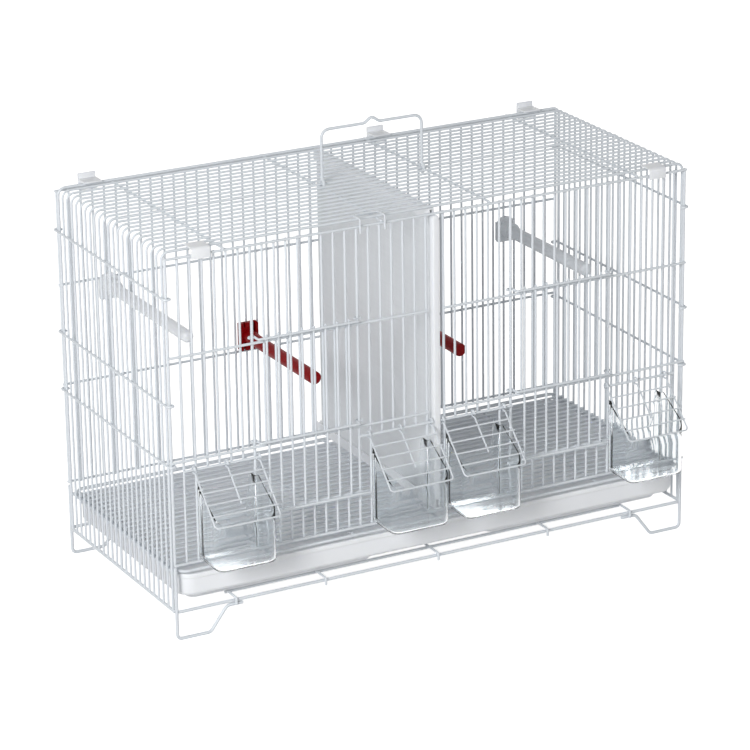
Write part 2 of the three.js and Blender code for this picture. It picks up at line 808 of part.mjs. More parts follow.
for (const { side, name } of halves) {
  piece(name + "_wall", sideWall(side), whiteWire);
  piece("foot_front_" + name, foot(side, 0), whiteWire);
  piece("foot_back_" + name, foot(side, cageDepth), whiteWire);
  piece("door_" + name, door(side), whiteWire);
  piece("roof_clip_front_" + name, roofClip(side * (halfWidth - clipInset), false), whitePlastic);
  piece("roof_clip_back_" + name, roofClip(side * (halfWidth - clipInset), true), whitePlastic);
  feederBars.forEach((firstBar, i) => {
    const place = ["outer", "inner"][i] + "_" + name;
    piece("flap_" + place, flap(side, firstBar), whiteWire);
    piece("feeder_" + place, feeder(side, firstBar), clearPlastic);
  });
}

const perchBars = { white: 4, red: 16, grey: 5 }; // counted from the nearer corner
piece("perch_white_left", perch(perchBars.white, highPerch), whitePlastic);
piece("perch_red_left", perch(perchBars.red, lowPerch), redPlastic);
piece("perch_red_right", perch(backPitches - perchBars.red, lowPerch), redPlastic);
piece("perch_grey_right", perch(backPitches - perchBars.grey, middlePerch), greyPlastic);

// The finished cage stands on the floor, over the middle of its outline.
const extent = new THREE.Box3().setFromObject(cage);
const middle = extent.getCenter(new THREE.Vector3());
cage.children.forEach((mesh) =>
  mesh.geometry.translate(-middle.x, -middle.y, -extent.min.z),
);

export default cage;
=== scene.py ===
import math
from types import SimpleNamespace

import bpy
import numpy as np
from mathutils import Matrix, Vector
from mathutils.geometry import tessellate_polygon


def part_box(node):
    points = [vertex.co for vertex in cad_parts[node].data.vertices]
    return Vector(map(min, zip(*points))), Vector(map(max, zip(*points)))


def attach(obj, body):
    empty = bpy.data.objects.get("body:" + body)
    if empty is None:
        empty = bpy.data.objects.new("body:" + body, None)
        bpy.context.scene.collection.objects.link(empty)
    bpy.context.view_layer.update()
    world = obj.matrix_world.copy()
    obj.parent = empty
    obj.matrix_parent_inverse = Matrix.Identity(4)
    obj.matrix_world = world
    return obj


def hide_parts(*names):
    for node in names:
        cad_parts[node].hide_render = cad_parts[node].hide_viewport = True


bl_info = {
    "name": "Canary breeding cage",
    "version": (1, 0, 0),
    "blender": (4, 5, 0),
    "location": "3D View > Sidebar > Cage",
    "description": "Dresses the packed breeding cage in round wire, moulded plastic and clear cups",
    "category": "Add Mesh",
}

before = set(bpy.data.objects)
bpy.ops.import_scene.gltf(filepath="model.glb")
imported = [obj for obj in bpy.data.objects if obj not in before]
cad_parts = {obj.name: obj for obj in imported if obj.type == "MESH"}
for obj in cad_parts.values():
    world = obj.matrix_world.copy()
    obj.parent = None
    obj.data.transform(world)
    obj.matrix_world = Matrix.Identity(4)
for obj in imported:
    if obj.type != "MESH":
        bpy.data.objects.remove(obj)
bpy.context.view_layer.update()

# The cage's own millimetres: x from its middle to the right, y from the front
# bars to the back bars, z up from the middle of the base wires.
BASE_LOW, BASE_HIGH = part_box("base_wire_front")
ORIGIN = (BASE_LOW + BASE_HIGH) / 2
HALVES = ((-1, "left"), (1, "right"))
X_AXIS, Y_AXIS, Z_AXIS = np.eye(3)

BARS = 23  # front bars of one half, from the corner to the slot
WRAPS = 23  # wires that run up one wall, over the roof and down the other
FEEDERS = ((2, "outer"), (17, "inner"))  # the bar that a feeder's opening starts from
FEEDER_BARS = 5  # pitches that such an opening takes
DOOR_BARS = (7, 16)  # the stout bars that a door slides on

# Millimetres that don't change with the user's sizes.
FIT = 0.4  # between two pieces that move on or are clipped to each other
SINK = 1.0  # a bar's end past the middle of the wire it is welded to
OVERHANG = 1.5  # a rail's end past the last bar it crosses
BEND = 8.0  # from a wall to where its wires have turned into the roof
PIN_Y = -2.6  # y of the bars that the flaps hang on
RAIL_FACE = -4.65  # y that the front of the panel's rails reaches
CREASE = 35  # degrees of bend from which an edge is shaded sharp
CUT_LENGTH, CUT_SHARE = 0.3, 0.7  # radii over which a cut end narrows, and what is left of its own


# ---- Sizes and colours that a user would change ----


def linear(code):
    """Linear colour of an sRGB hex code: a share c above 0.04045 becomes
    ((c + 0.055) / 1.055) ** 2.4, and a lower one c / 12.92."""
    shares = np.array([int(code[i:i + 2], 16) for i in (1, 3, 5)]) / 255
    low = shares / 12.92
    high = ((shares + 0.055) / 1.055) ** 2.4
    return tuple(np.where(shares <= 0.04045, low, high))


def length(name, description, millimetres):
    """A size that the user may change, which Blender keeps in metres."""
    return bpy.props.FloatProperty(
        name=name, description=description, default=millimetres / 1000, unit="LENGTH", precision=5
    )


def colour(name, description, code):
    """A colour that the user may change, from its sRGB hex code."""
    return bpy.props.FloatVectorProperty(
        name=name, description=description, default=linear(code), subtype="COLOR", min=0, max=1
    )


class CageSizes(bpy.types.PropertyGroup):
    bar_pitch: length("Bar pitch", "Between the upright wires of the front panel", 13.136)
    slot_width: length("Slot width", "Gap in the middle of the front, which the divider fills", 20)
    depth: length("Depth", "Front bars to back bars", 262)
    height: length("Height", "Base wires to roof wires", 378)
    foot_height: length("Foot height", "Base wires to the floor", 31)
    thin_wire: length("Thin wire", "Diameter of the common bars over their coating", 2.5)
    stout_wire: length("Stout wire", "Diameter of the corner and guide bars", 3.0)
    rail_wire: length("Rail wire", "Diameter of the rails across the bars", 2.7)
    base_wire: length("Base wire", "Diameter of the base wires and feet", 3.6)
    rack_wire: length("Rack wire", "Diameter of the wires under the tray", 2.8)
    frame_wire: length("Frame wire", "Diameter of the floor grille's frame", 3.2)
    hook_wire: length("Hook wire", "Diameter of the flap and door wire", 1.9)


class CageColours(bpy.types.PropertyGroup):
    wire: colour("Wire", "Powder coat of every wire", "#DDE2E7")
    white_plastic: colour("White plastic", "Tray, channels, grip, clips, left perch", "#EEF0F3")
    grey_plastic: colour("Grey plastic", "The right perch", "#E8ECF0")
    red_plastic: colour("Red plastic", "The two low perches", "#900006")
    divider: colour("Divider", "The sheet between the halves", "#F0F3F6")
    cup: colour("Cup", "Tint of the clear feeder cups", "#FAFCFD")


def layout(context):
    """Every level and width of the cage in millimetres, worked out from the user's sizes."""
    s = context.scene.cage_sizes
    c = SimpleNamespace(
        pitch=s.bar_pitch * 1000, slot=s.slot_width * 1000, depth=s.depth * 1000,
        height=s.height * 1000, foot=s.foot_height * 1000, bar=s.thin_wire * 500,
        stout=s.stout_wire * 500, rail=s.rail_wire * 500, base=s.base_wire * 500,
        hook=s.hook_wire * 500, rack=s.rack_wire * 500, frame=s.frame_wire * 500,
    )
    c.half = c.slot / 2 + (BARS - 1) * c.pitch
    c.weld = c.bar + c.rail - 0.2  # between the middles of two welded wires
    # Levels of the front's lowest rail, door sills, flap hinges, and the rails over them.
    c.bottom, c.sill, c.hinge, c.low, c.high = 51.5, 90, 150, 161, 271
    c.top = c.height - c.weld - 2 * c.rail
    c.wall = c.half + 0.9  # x of a side wall's wires
    # The wires over the roof: their y, and their radius, which is stout at both ends and under the
    # handle.
    wraps, from_end = np.arange(WRAPS), 6
    c.wrap_y = from_end + wraps * (c.depth - 2 * from_end) / (WRAPS - 1)
    c.wrap_r = np.where(np.isin(wraps, (0, WRAPS // 2, WRAPS - 1)), c.stout, c.bar)
    # Levels of the rack under the tray, the tray, and the grille's frame and bars over it.
    c.support, c.tray_bottom, c.tray_top = 3.6, 5.3, 38.8
    c.grille_frame, c.grille_bar = 43.5, 46.1
    c.grille_half = c.half - 4.9  # x of the frame's sides
    # A flap's sides clear the bars beside the opening: 1.85 and 1.1 are the solids' half widths.
    c.flap_half = FEEDER_BARS / 2 * c.pitch + 1.85 + 1.1 + FIT
    return c


def bar_x(c, side, bar):
    """x of a front bar counted from its corner: half the slot, and a pitch for each bar to go."""
    return side * (c.slot / 2 + (BARS - 1 - bar) * c.pitch)


def back_bar_x(c, bar):
    """x of a back bar counted from the left: the bars share the width evenly."""
    return -c.half + bar * 2 * c.half / (2 * BARS - 1)


def feeder_places(c):
    """Name and middle x of each feeder."""
    for side, hand in HALVES:
        for first, place in FEEDERS:
            yield place + "_" + hand, bar_x(c, side, first + FEEDER_BARS / 2)


# ---- Surfaces ----


def skin(rings, closed_path=False, caps=True):
    """Points and faces of a surface through rings of points: points k and k + 1 of ring i join the
    same ones of ring i + 1, round the ring. It takes one stack of rings, or many at once."""
    rings = np.asarray(rings, float)
    stacks = rings.reshape(-1, *rings.shape[-3:])
    count, n, m, _ = stacks.shape
    i, k = np.meshgrid(np.arange(n if closed_path else n - 1), np.arange(m), indexing="ij")
    a = i * m + k
    b = i * m + (k + 1) % m
    up = (i + 1) % n * m - i * m
    quads = np.stack([a, b, b + up, a + up], -1).reshape(-1, 4)
    step = (np.arange(count) * n * m)[:, None, None]
    faces = [(quads[None] + step).reshape(-1, 4)]
    if caps and not closed_path:
        ends = np.stack([np.arange(m)[::-1], (n - 1) * m + np.arange(m)])
        faces.append((ends[None] + step).reshape(-1, m))
    return stacks.reshape(-1, 3), faces


def xyz(x, y, z):
    """Points from their x, y and z, each an array or one number for all of them."""
    return np.stack(np.broadcast_arrays(*(np.asarray(v, float) for v in (x, y, z))), -1)


def unit(vectors):
    """Vectors over their lengths."""
    return vectors / np.maximum(np.linalg.norm(vectors, axis=-1, keepdims=True), 1e-9)


def quarter(steps):
    """1 - cos t and 1 - sin t over a quarter turn, for rounded edges."""
    turn = np.linspace(0, math.pi / 2, steps)
    return 1 - np.cos(turn), 1 - np.sin(turn)


def circle(sides):
    """Cosines and sines of evenly spaced turns."""
    turn = np.arange(sides) * 2 * math.pi / sides
    return np.cos(turn), np.sin(turn)


def rods(starts, ends, radius, sides=10, blunt=False):
    """Straight round wires: circles of the wire's radius across the line from start to end. Their
    ends are drawn in a little, as a cut end is under its coat, unless they are blunt."""
    starts, ends = (np.atleast_2d(np.asarray(p, float)) for p in (starts, ends))
    starts, ends = np.broadcast_arrays(starts, ends)
    radius = np.broadcast_to(np.asarray(radius, float), len(starts))[:, None, None, None]
    along = unit(ends - starts)
    helper = np.where(np.abs(along[:, 2:3]) < 0.9, Z_AXIS, X_AXIS)
    across = unit(np.cross(helper, along))
    over = np.cross(along, across)
    cos, sin = circle(sides)
    ring = across[:, None] * cos[:, None] + over[:, None] * sin[:, None]
    drawn = np.ones(4) if blunt else np.array([CUT_SHARE, 1, 1, CUT_SHARE])
    inset = radius[:, 0, 0] * np.array([0, CUT_LENGTH, -CUT_LENGTH, 0])
    place = np.stack([starts, starts, ends, ends], 1) + inset[:, :, None] * along[:, None]
    return skin(place[:, :, None] + ring[:, None] * drawn[None, :, None, None] * radius)


def fillet(corners, radius, steps=6):
    """A path through corners with each inner corner replaced by an arc of the given radius: its
    centre is along the bisector, and its points turn evenly from one tangent point to the other."""
    p = np.asarray(corners, float)
    back = unit(p[:-2] - p[1:-1])
    ahead = unit(p[2:] - p[1:-1])
    half = np.arccos(np.clip((back * ahead).sum(1), -1, 1)) / 2
    radius = np.broadcast_to(np.asarray(radius, float), len(half))
    centre = p[1:-1] + unit(back + ahead) * (radius / np.sin(half))[:, None]
    first = p[1:-1] + back * (radius / np.tan(half))[:, None] - centre
    last = p[1:-1] + ahead * (radius / np.tan(half))[:, None] - centre
    turn = (math.pi - 2 * half)[:, None, None]
    t = np.linspace(0, 1, steps + 1)[None, :, None]
    arc = np.sin((1 - t) * turn) * first[:, None] + np.sin(t * turn) * last[:, None]
    points = (centre[:, None] + arc / np.sin(turn)).reshape(-1, p.shape[1])
    return np.concatenate([p[:1], points, p[-1:]])


def swept(path, normal, radius, sides=10, closed=False, blunt=False):
    """A round wire along a path in one plane: at each point a circle in the plane that halves the
    bend, stretched by 1 / cos(half the bend) so that the wire keeps its thickness."""
    path = np.asarray(path, float)
    step = unit(np.diff(path, axis=0, append=path[:1]))
    before = np.roll(step, 1, axis=0)
    if not closed:
        before[0] = step[0]
        step[-1] = before[-1]
    along = unit(before + step)
    aside = np.cross(normal, along) / (along * step).sum(1, keepdims=True)
    cos, sin = circle(sides)
    drawn = np.ones(len(path))
    if not closed and not blunt:
        cut = CUT_LENGTH * radius
        path = np.concatenate([path[:1], path[:1] + step[:1] * cut, path[1:-1],
                               path[-1:] - step[-1:] * cut, path[-1:]])
        aside = np.concatenate([aside[:1], aside, aside[-1:]])
        drawn = np.concatenate([[CUT_SHARE, 1], np.ones(len(path) - 4), [1, CUT_SHARE]])
    ring = np.asarray(normal, float)[None, None] * sin[None, :, None]
    ring = ring + aside[:, None] * cos[None, :, None]
    return skin(path[:, None] + ring * radius * drawn[:, None, None], closed_path=closed)


def eye_path(x, pin_y, pin_z, radius, start_degrees, tail):
    """A wire's eye in the plane of x: a straight tail along the start direction, a short bend, and
    then 299 degrees of a circle round the pin."""
    turn = np.radians(start_degrees + np.linspace(16, 315, 22))
    start = math.radians(start_degrees)
    out = np.array([math.cos(start), math.sin(start)])
    ring = np.stack([np.cos(turn), np.sin(turn)], 1) * radius
    path = np.concatenate([[out * tail, out * radius * 1.4], ring])
    return xyz(x, pin_y + path[:, 0], pin_z + path[:, 1])


def rounded_rectangle(width, depth, radius, steps=8):
    """Points round a rectangle with round corners, from four quarter turns of a circle, each set in
    from its corner by the radius; widths, depths and radii may be arrays, one ring for each."""
    width, depth, radius = (np.asarray(v, float)[..., None] for v in (width, depth, radius))
    turn = np.linspace(0, math.pi / 2, steps)[None] + np.arange(4)[:, None] * math.pi / 2
    turn = turn.ravel()
    sx = np.repeat([1, -1, -1, 1], steps)
    sy = np.repeat([1, 1, -1, -1], steps)
    return (sx * (width / 2 - radius) + np.cos(turn) * radius,
            sy * (depth / 2 - radius) + np.sin(turn) * radius)


def offset(outline, distance):
    """A closed outline in a plane moved inwards: each point goes along the bisector of its edges'
    normals by distance / cos(half the bend). The outline runs anticlockwise."""
    edge = unit(np.roll(outline, -1, axis=0) - outline)
    normal = np.column_stack([-edge[:, 1], edge[:, 0]])
    middle = normal + np.roll(normal, 1, axis=0)
    return outline + middle * distance / np.maximum((middle * normal).sum(1, keepdims=True), 0.4)


def oblong(x, z):
    """Anticlockwise outline of a rectangle from the two ends of its x and the two of its z."""
    return [[x[0], z[0]], [x[1], z[0]], [x[1], z[1]], [x[0], z[1]]]


def facing(points, triangles, towards):
    """Triangles turned over where the cross product of their first two sides points away."""
    a, b, d = (points[triangles[:, k]] for k in range(3))
    wrong = np.cross(b - a, d - a) @ towards < 0
    return np.where(wrong[:, None], triangles[:, ::-1], triangles)


def plate(outline, towards, holes=()):
    """Points and triangles that fill a flat outline, less its holes, and face the given way."""
    loops = [outline, *holes]
    points = np.concatenate(loops)
    triangles = np.array(tessellate_polygon([[tuple(p) for p in loop] for loop in loops]))
    return points, facing(points, triangles, towards)


def end_cap(rings, last, towards, mirrored=False):
    """Triangles over the first or last ring of a skin, facing the given way. The skin of mirrored
    rings runs round each ring backwards."""
    ring = rings[-1 if last else 0]
    _, triangles = plate(ring, towards)
    if mirrored:
        triangles = len(ring) - 1 - triangles
    return triangles + (len(rings) - 1) * len(ring) * last


def prism(outline, start, end, axis, edge=0.4):
    """A flat outline carried along an axis, with each rim rounded off by drawing the outline in by
    edge * (1 - sin t) as it goes up by edge * (1 - cos t)."""
    outline = np.asarray(outline, float)
    up, inward = (edge * share for share in quarter(4))
    inset = np.concatenate([inward, inward[::-1]])
    level = np.concatenate([start + up, end - up[::-1]])
    flat = np.stack([offset(outline, d) for d in inset])
    high = np.broadcast_to(level[:, None, None], (*flat.shape[:2], 1))
    order = {"x": [2, 0, 1], "y": [0, 2, 1], "z": [0, 1, 2]}[axis]
    rings = np.concatenate([flat, high], -1)[..., order]
    if axis == "y":
        rings = rings[:, ::-1]
    points, faces = skin(rings, caps=False)
    out = rings[-1].mean(0) - rings[0].mean(0)
    return points, faces + [end_cap(rings, False, -out), end_cap(rings, True, out)]


def make_piece(context, name, parts, nodes, body="cage", slot="white_wire"):
    """Puts surfaces into one mesh: millimetres become metres in the frame, and faces are shaded
    smooth except across sharp edges."""
    points = np.concatenate([p for p, _ in parts]) / 1000 + np.array(ORIGIN)
    start = np.cumsum([0] + [len(p) for p, _ in parts])
    faces = [f + start[i] for i, (_, groups) in enumerate(parts) for f in groups]
    corners = np.concatenate([f.ravel() for f in faces])
    sizes = np.concatenate([np.full(len(f), f.shape[1]) for f in faces])
    mesh = bpy.data.meshes.new(name)
    mesh.vertices.add(len(points))
    mesh.vertices.foreach_set("co", points.astype(np.float32).ravel())
    mesh.loops.add(len(corners))
    mesh.loops.foreach_set("vertex_index", corners.astype(np.int32))
    mesh.polygons.add(len(sizes))
    mesh.polygons.foreach_set("loop_start", (np.cumsum(sizes) - sizes).astype(np.int32))
    mesh.polygons.foreach_set("use_smooth", np.ones(len(sizes), bool))
    mesh.update(calc_edges=True)
    mesh.set_sharp_from_angle(angle=math.radians(CREASE))
    mesh.materials.append(finish_of(context, slot))
    piece = bpy.data.objects.new(name, mesh)
    context.scene.collection.objects.link(piece)
    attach(piece, body)
    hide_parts(*nodes)
    return piece


# ---- Materials ----


def add_node(tree, kind, inputs=None, **settings):
    """Adds a node, sets its settings, and sets or links its inputs."""
    node = tree.nodes.new(kind)
    for key, value in settings.items():
        setattr(node, key, value)
    for key, value in (inputs or {}).items():
        if isinstance(value, bpy.types.NodeSocket):
            tree.links.new(value, node.inputs[key])
        else:
            node.inputs[key].default_value = value
    return node


def new_material(name, base, inputs):
    """A material, its node tree and its Principled shader with the given colour and inputs."""
    material = bpy.data.materials.new(name)
    material.use_nodes = True
    tree = material.node_tree
    shader = tree.nodes["Principled BSDF"]
    shader.inputs["Base Color"].default_value = (*base, 1)
    for key, value in inputs.items():
        shader.inputs[key].default_value = value
    return material, tree, shader


def object_place(tree):
    """Object coordinates, in metres."""
    return add_node(tree, "ShaderNodeTexCoord").outputs["Object"]


def noise(tree, place, scale, detail):
    """Noise of 0 to 1, with its scale in cells a metre."""
    inputs = {"Vector": place, "Scale": scale, "Detail": detail}
    return add_node(tree, "ShaderNodeTexNoise", inputs).outputs["Fac"]


def vary_colour(tree, shader, factor, base, dark):
    """Colour from dark * base to base."""
    ends = {0: factor, 6: (*[dark * v for v in base], 1), 7: (*base, 1)}
    tint = add_node(tree, "ShaderNodeMix", ends, data_type="RGBA")
    tree.links.new(tint.outputs[2], shader.inputs["Base Color"])


def vary_roughness(tree, shader, factor, low, high, limits=(0, 1)):
    """Roughness from low to high as the factor goes from one limit to the other."""
    inputs = {"Value": factor, "From Min": limits[0], "From Max": limits[1],
              "To Min": low, "To Max": high}
    rough = add_node(tree, "ShaderNodeMapRange", inputs)
    tree.links.new(rough.outputs["Result"], shader.inputs["Roughness"])


def emboss(tree, shader, height, strength, distance):
    """A bump whose full height is a distance in metres."""
    inputs = {"Height": height, "Strength": strength, "Distance": distance}
    relief = add_node(tree, "ShaderNodeBump", inputs)
    tree.links.new(relief.outputs["Normal"], shader.inputs["Normal"])


def varied(name, base, inputs, scale, dark, roughness, bump):
    """Colour and roughness that vary with a broad noise, and a bump from a fine one."""
    material, tree, shader = new_material(name, base, inputs)
    place = object_place(tree)
    broad = noise(tree, place, scale[0], 3.0)
    fine = noise(tree, place, scale[1], 2.0)
    vary_colour(tree, shader, broad, base, dark)
    vary_roughness(tree, shader, broad, *roughness, limits=(0.3, 0.7))
    emboss(tree, shader, fine, *bump)
    return material


def extruded_sheet(name, base):
    """Extruded rigid PVC sheet of the divider: flat and matt, with draw lines along its length that
    are 3 mm apart."""
    material, tree, shader = new_material(name, base, {"IOR": 1.53})
    place = object_place(tree)
    stretched = add_node(tree, "ShaderNodeMapping", {"Vector": place, "Scale": (1, 0.04, 1)})
    lines = noise(tree, stretched.outputs["Vector"], 330.0, 2.0)
    cloud = noise(tree, place, 9.0, 2.0)
    both = add_node(tree, "ShaderNodeMath", {0: lines, 1: cloud}, operation="MULTIPLY")
    vary_colour(tree, shader, both.outputs[0], base, 0.86)
    vary_roughness(tree, shader, lines, 0.38, 0.55)
    emboss(tree, shader, lines, 0.1, 0.0001)
    return material


def clear_polystyrene(name, base):
    """Injection moulded crystal polystyrene of the cups: clear and shiny, with faint flow waves
    14 mm across that bend what is seen through it. Its index is 1.59, and is lowered here until the
    rims look as light as on the thin walls of the real cups."""
    material, tree, shader = new_material(name, base, {"IOR": 1.3, "Transmission Weight": 1.0})
    flow = noise(tree, object_place(tree), 70.0, 1.0)
    emboss(tree, shader, flow, 0.06, 0.0006)
    vary_roughness(tree, shader, flow, 0.03, 0.07)
    return material


# Injection moulded polypropylene, as of perches: a waxy satin surface that scatters a little light
# inside, with a fine grain of 0.8 mm for the bird's grip.
POLYPROPYLENE = (
    {"IOR": 1.49, "Specular IOR Level": 0.15, "Subsurface Weight": 0.05,
     "Subsurface Radius": (0.003, 0.002, 0.002), "Subsurface Scale": 0.3},
    (40, 1250), 0.86, (0.34, 0.48), (0.15, 0.00015),
)

# For each slot of the record: the material's name, the user's colour for it, its maker and the
# maker's values.
FINISHES = {
    # Steel wire under baked epoxy powder: a soft gloss with a faint orange peel. Its waves are
    # about 1 mm across on the real coat, and are drawn at 1.2 mm so that they show.
    "white_wire": ("powder_coated_steel_wire", "wire", varied, (
        {"IOR": 1.5}, (24, 830), 0.93, (0.3, 0.42), (0.12, 0.00015))),
    # Injection moulded white polystyrene: smooth, even and slightly glossy, with slow waves of
    # moulding flow 60 mm across and a fine spark-eroded grain of 0.9 mm.
    "white_plastic": ("moulded_white_polystyrene", "white_plastic", varied, (
        {"IOR": 1.59, "Subsurface Weight": 0.08, "Subsurface Radius": (0.004, 0.004, 0.005),
         "Subsurface Scale": 0.3}, (16, 1100), 0.975, (0.3, 0.36), (0.06, 0.0001))),
    "grey_plastic": ("moulded_grey_polypropylene", "grey_plastic", varied, POLYPROPYLENE),
    "red_plastic": ("moulded_red_polypropylene", "red_plastic", varied, POLYPROPYLENE),
    "blue_panel": ("extruded_pvc_sheet", "divider", extruded_sheet, ()),
    "clear_plastic": ("clear_crystal_polystyrene", "cup", clear_polystyrene, ()),
}


def finish_of(context, slot):
    """The material of a slot of the record, made once."""
    name, colour_name, make, values = FINISHES[slot]
    base = tuple(getattr(context.scene.cage_colours, colour_name))
    return bpy.data.materials.get(name) or make(name, base, *values)


# ---- Wire panels ----


class CAGE_OT_front_panel(bpy.types.Operator):
    """Upright bars with the feeder and door openings, and the rails across them"""

    bl_idname = "cage.front_panel"
    bl_label = "Front panel"

    def execute(self, context):
        c = layout(context)
        end = c.half + OVERHANG
        bars, rails = [], [(-end, end, c.top), (-end, end, c.bottom)]
        hinge_gap = 1.7  # from a flap's edge to the end of the rail beside it
        for side, _ in HALVES:
            for bar in range(BARS):
                radius = c.stout if bar in (0, *DOOR_BARS, BARS - 1) else c.bar
                spans = [(c.bottom - SINK, c.top + SINK)]
                if any(first < bar < first + FEEDER_BARS for first, _ in FEEDERS):
                    spans = [(c.hinge - SINK, c.top + SINK)]
                elif DOOR_BARS[0] < bar < DOOR_BARS[1]:
                    spans = [(c.bottom - SINK, c.sill + SINK), (c.low - SINK, c.top + SINK)]
                bars += [(bar_x(c, side, bar), a, b, radius) for a, b in spans]
            outer = bar_x(c, side, 0) + side * OVERHANG
            inner = bar_x(c, side, BARS - 1) - side * SINK
            rails += [(outer, inner, c.high), (outer, inner, c.low)]
            guides = [bar_x(c, side, bar) for bar in DOOR_BARS]
            rails.append((guides[0] + side * OVERHANG, guides[1] - side * OVERHANG, c.sill))
            for first, _ in FEEDERS:
                middle = bar_x(c, side, first + FEEDER_BARS / 2)
                rails.append((bar_x(c, side, first - 1) + side * OVERHANG,
                              middle - side * (c.flap_half + hinge_gap), c.hinge))
        x, low, high, radius = np.array(bars).T
        upright = rods(xyz(x, 0, low), xyz(x, 0, high), radius)
        x0, x1, z = np.array(rails).T
        across = rods(xyz(x0, -c.weld, z), xyz(x1, -c.weld, z), c.rail)
        make_piece(context, "front_panel_wires", [upright, across], ["front_panel"])
        return {"FINISHED"}


class CAGE_OT_back_panel(bpy.types.Operator):
    """Forty-six upright bars with four rails outside them"""

    bl_idname = "cage.back_panel"
    bl_label = "Back panel"

    def execute(self, context):
        c = layout(context)
        bar = np.arange(2 * BARS)
        x = back_bar_x(c, bar)
        stout = np.isin(bar, (0, BARS - 1, BARS, 2 * BARS - 1))
        upright = rods(xyz(x, c.depth, c.bottom - SINK), xyz(x, c.depth, c.top + SINK),
                       np.where(stout, c.stout, c.bar))
        end, y, z = c.half + OVERHANG, c.depth + c.weld, [c.top, c.bottom, c.high, c.low]
        across = rods(xyz(-end, y, z), xyz(end, y, z), c.rail)
        make_piece(context, "back_panel_wires", [upright, across], ["back_panel"])
        return {"FINISHED"}


class CAGE_OT_walls(bpy.types.Operator):
    """Side walls of wires bent over at the roof, with rails that hook round the corner bars"""

    bl_idname = "cage.walls"
    bl_label = "Side walls"

    def execute(self, context):
        c = layout(context)
        past = c.stout + c.rail + FIT
        rail_levels = (157, 221, 332)
        ledge_levels, ledge_inset = (39.2, 41.6), 4.2  # the ledge that the floor grille runs on
        for side, name in HALVES:
            x = side * c.wall
            bend = fillet([[x, 0, 0], [x, 0, c.height], [side * (c.wall - BEND), 0, c.height]],
                          BEND - 0.1)
            parts = [swept(bend + [0, y, 0], Y_AXIS, radius, blunt=True)
                     for y, radius in zip(c.wrap_y, c.wrap_r)]
            parts.append(rods([x, 2.2, 0], [x, c.depth - 2.2, 0], c.base))
            out, inn = side * (c.wall + c.weld), side * (c.half - past)
            hook = [[inn, c.stout, 0], [inn, -past, 0], [out, -past, 0], [out, c.depth + past, 0],
                    [inn, c.depth + past, 0], [inn, c.depth - c.stout, 0]]
            for z in rail_levels:
                parts.append(swept(fillet(hook, [2, 3.2, 3.2, 2]) + [0, 0, z], Z_AXIS, c.rail))
            ledge_x = np.sort([side * (c.grille_half - 1.6), side * (c.wall - 1.0)])
            ledge = oblong(ledge_x, ledge_levels)
            parts.append(prism(ledge, ledge_inset, c.depth - ledge_inset, "y", 0.5))
            make_piece(context, name + "_wall_wires", parts, [name + "_wall"])
        return {"FINISHED"}


class CAGE_OT_roof(bpy.types.Operator):
    """Roof wires from wall to wall on four wires that run from front to back"""

    bl_idname = "cage.roof"
    bl_label = "Roof"

    def execute(self, context):
        c = layout(context)
        end = c.wall - (BEND + 0.1)
        y, z = c.wrap_y, c.height
        across = rods(xyz(-end, y, z), xyz(end, y, z), c.wrap_r, blunt=True)
        x, z = [-238, -62, 62, 238], c.height - c.weld
        past = c.weld + c.rail + 0.8
        along = rods(xyz(x, -past, z), xyz(x, c.depth + past, z), c.rail)
        make_piece(context, "roof_wires", [across, along], ["roof"])
        return {"FINISHED"}


# ---- Base ----


class CAGE_OT_base(bpy.types.Operator):
    """Base wires and the four feet, each bent from one stout wire"""

    bl_idname = "cage.base"
    bl_label = "Base wires and feet"

    def execute(self, context):
        c = layout(context)
        sides = 14
        end = c.half - 2.2
        floor, under, top = -c.foot + c.base, -4.1, c.bottom - 3
        sole, rise, tip = 37, 56, 74  # how far along the base wire each stretch of a foot ends
        for y, name in ((0, "front"), (c.depth, "back")):
            wire = rods([-end, y, 0], [end, y, 0], c.base, sides)
            make_piece(context, "base_" + name + "_wire", [wire], ["base_wire_" + name])
            for side, hand in HALVES:
                x = side * c.half
                path = fillet([[x, y, top], [x, y, floor], [x - side * sole, y, floor],
                               [x - side * rise, y, under], [x - side * tip, y, under]], [5, 7, 8])
                foot = "foot_" + name + "_" + hand
                make_piece(context, foot + "_wire", [swept(path, Y_AXIS, c.base, sides)], [foot])
        return {"FINISHED"}


class CAGE_OT_tray_rack(bpy.types.Operator):
    """Five wires that hook over the base wires, on two long wires: the tray slides on them"""

    bl_idname = "cage.tray_rack"
    bl_label = "Tray rack"

    def execute(self, context):
        c = layout(context)
        past, hook_end = 3.7, -4.4
        outer, inset = c.half - 65, 21
        parts = []
        for x in np.array([-1, -0.564, 0, 0.564, 1]) * outer:
            path = fillet([[x, -past, hook_end], [x, -past, c.support],
                           [x, c.depth + past, c.support], [x, c.depth + past, hook_end]], 2.2)
            parts.append(swept(path, X_AXIS, c.rack))
        end, y = outer + OVERHANG, [inset, c.depth - inset]
        z = c.support - c.rack - c.frame + 0.4
        parts.append(rods(xyz(-end, y, z), xyz(end, y, z), c.frame))
        make_piece(context, "tray_rack_wires", parts, ["tray_rack"])
        return {"FINISHED"}


